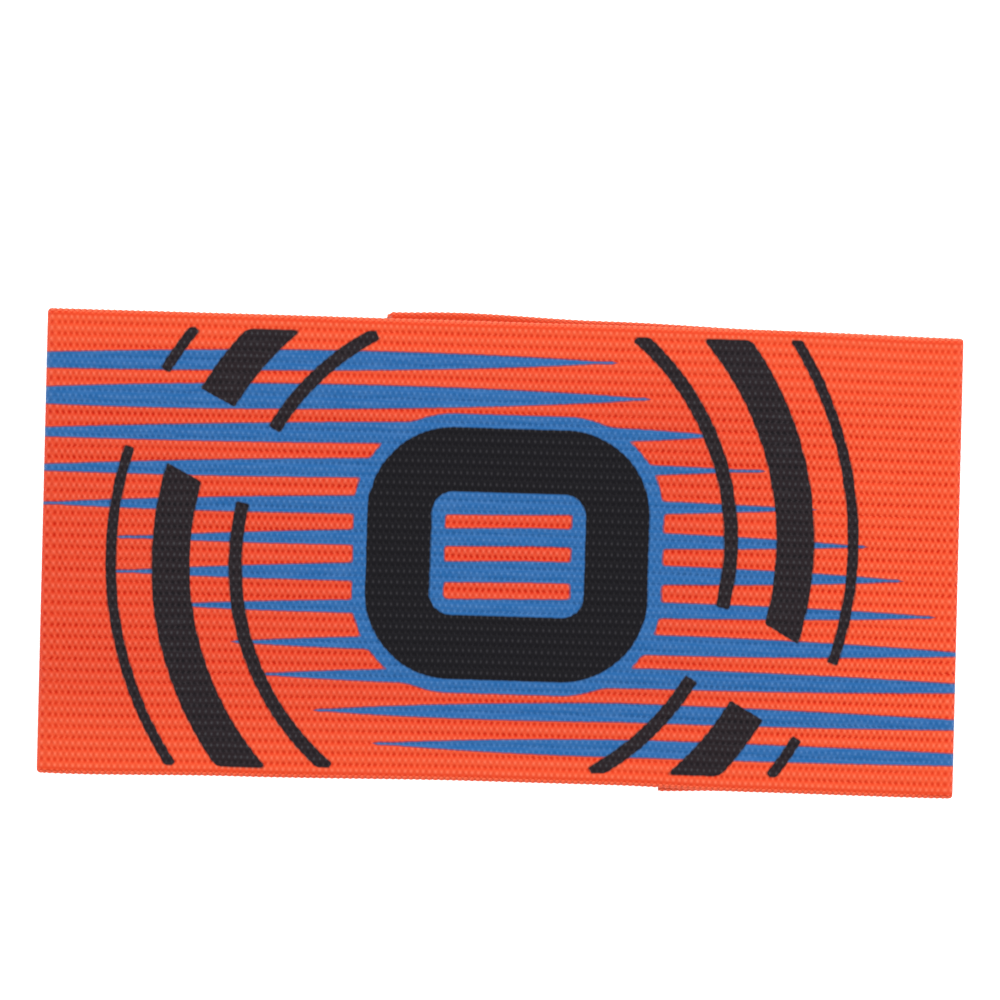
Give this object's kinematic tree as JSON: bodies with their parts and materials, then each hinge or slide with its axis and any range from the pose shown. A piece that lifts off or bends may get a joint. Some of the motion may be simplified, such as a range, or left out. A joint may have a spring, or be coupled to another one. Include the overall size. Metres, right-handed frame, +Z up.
{
  "type": "captain armband",
  "caption": "Wide elastic armband lying flat as a closed loop, striped print and an open block ring on its front, tails joined by hook-and-loop tape at the back.",
  "frame": {"origin": "on the flat underside that it lies on, below the middle of the printed front", "axes": "+X along the folded band towards the right fold, +Y across the band towards its upper edge, +Z up out of the printed front"},
  "size_m": [0.1496, 0.0769, 0.0124],
  "materials": {
    "printed_elastic": "matt ribbed elastic, orange with blue and black print",
    "hook_and_loop": "matt black hook-and-loop tape"
  },
  "bodies": {
    "root": {"elastic_band": "printed_elastic", "closure_tape": "hook_and_loop"}
  },
  "joints": []
}
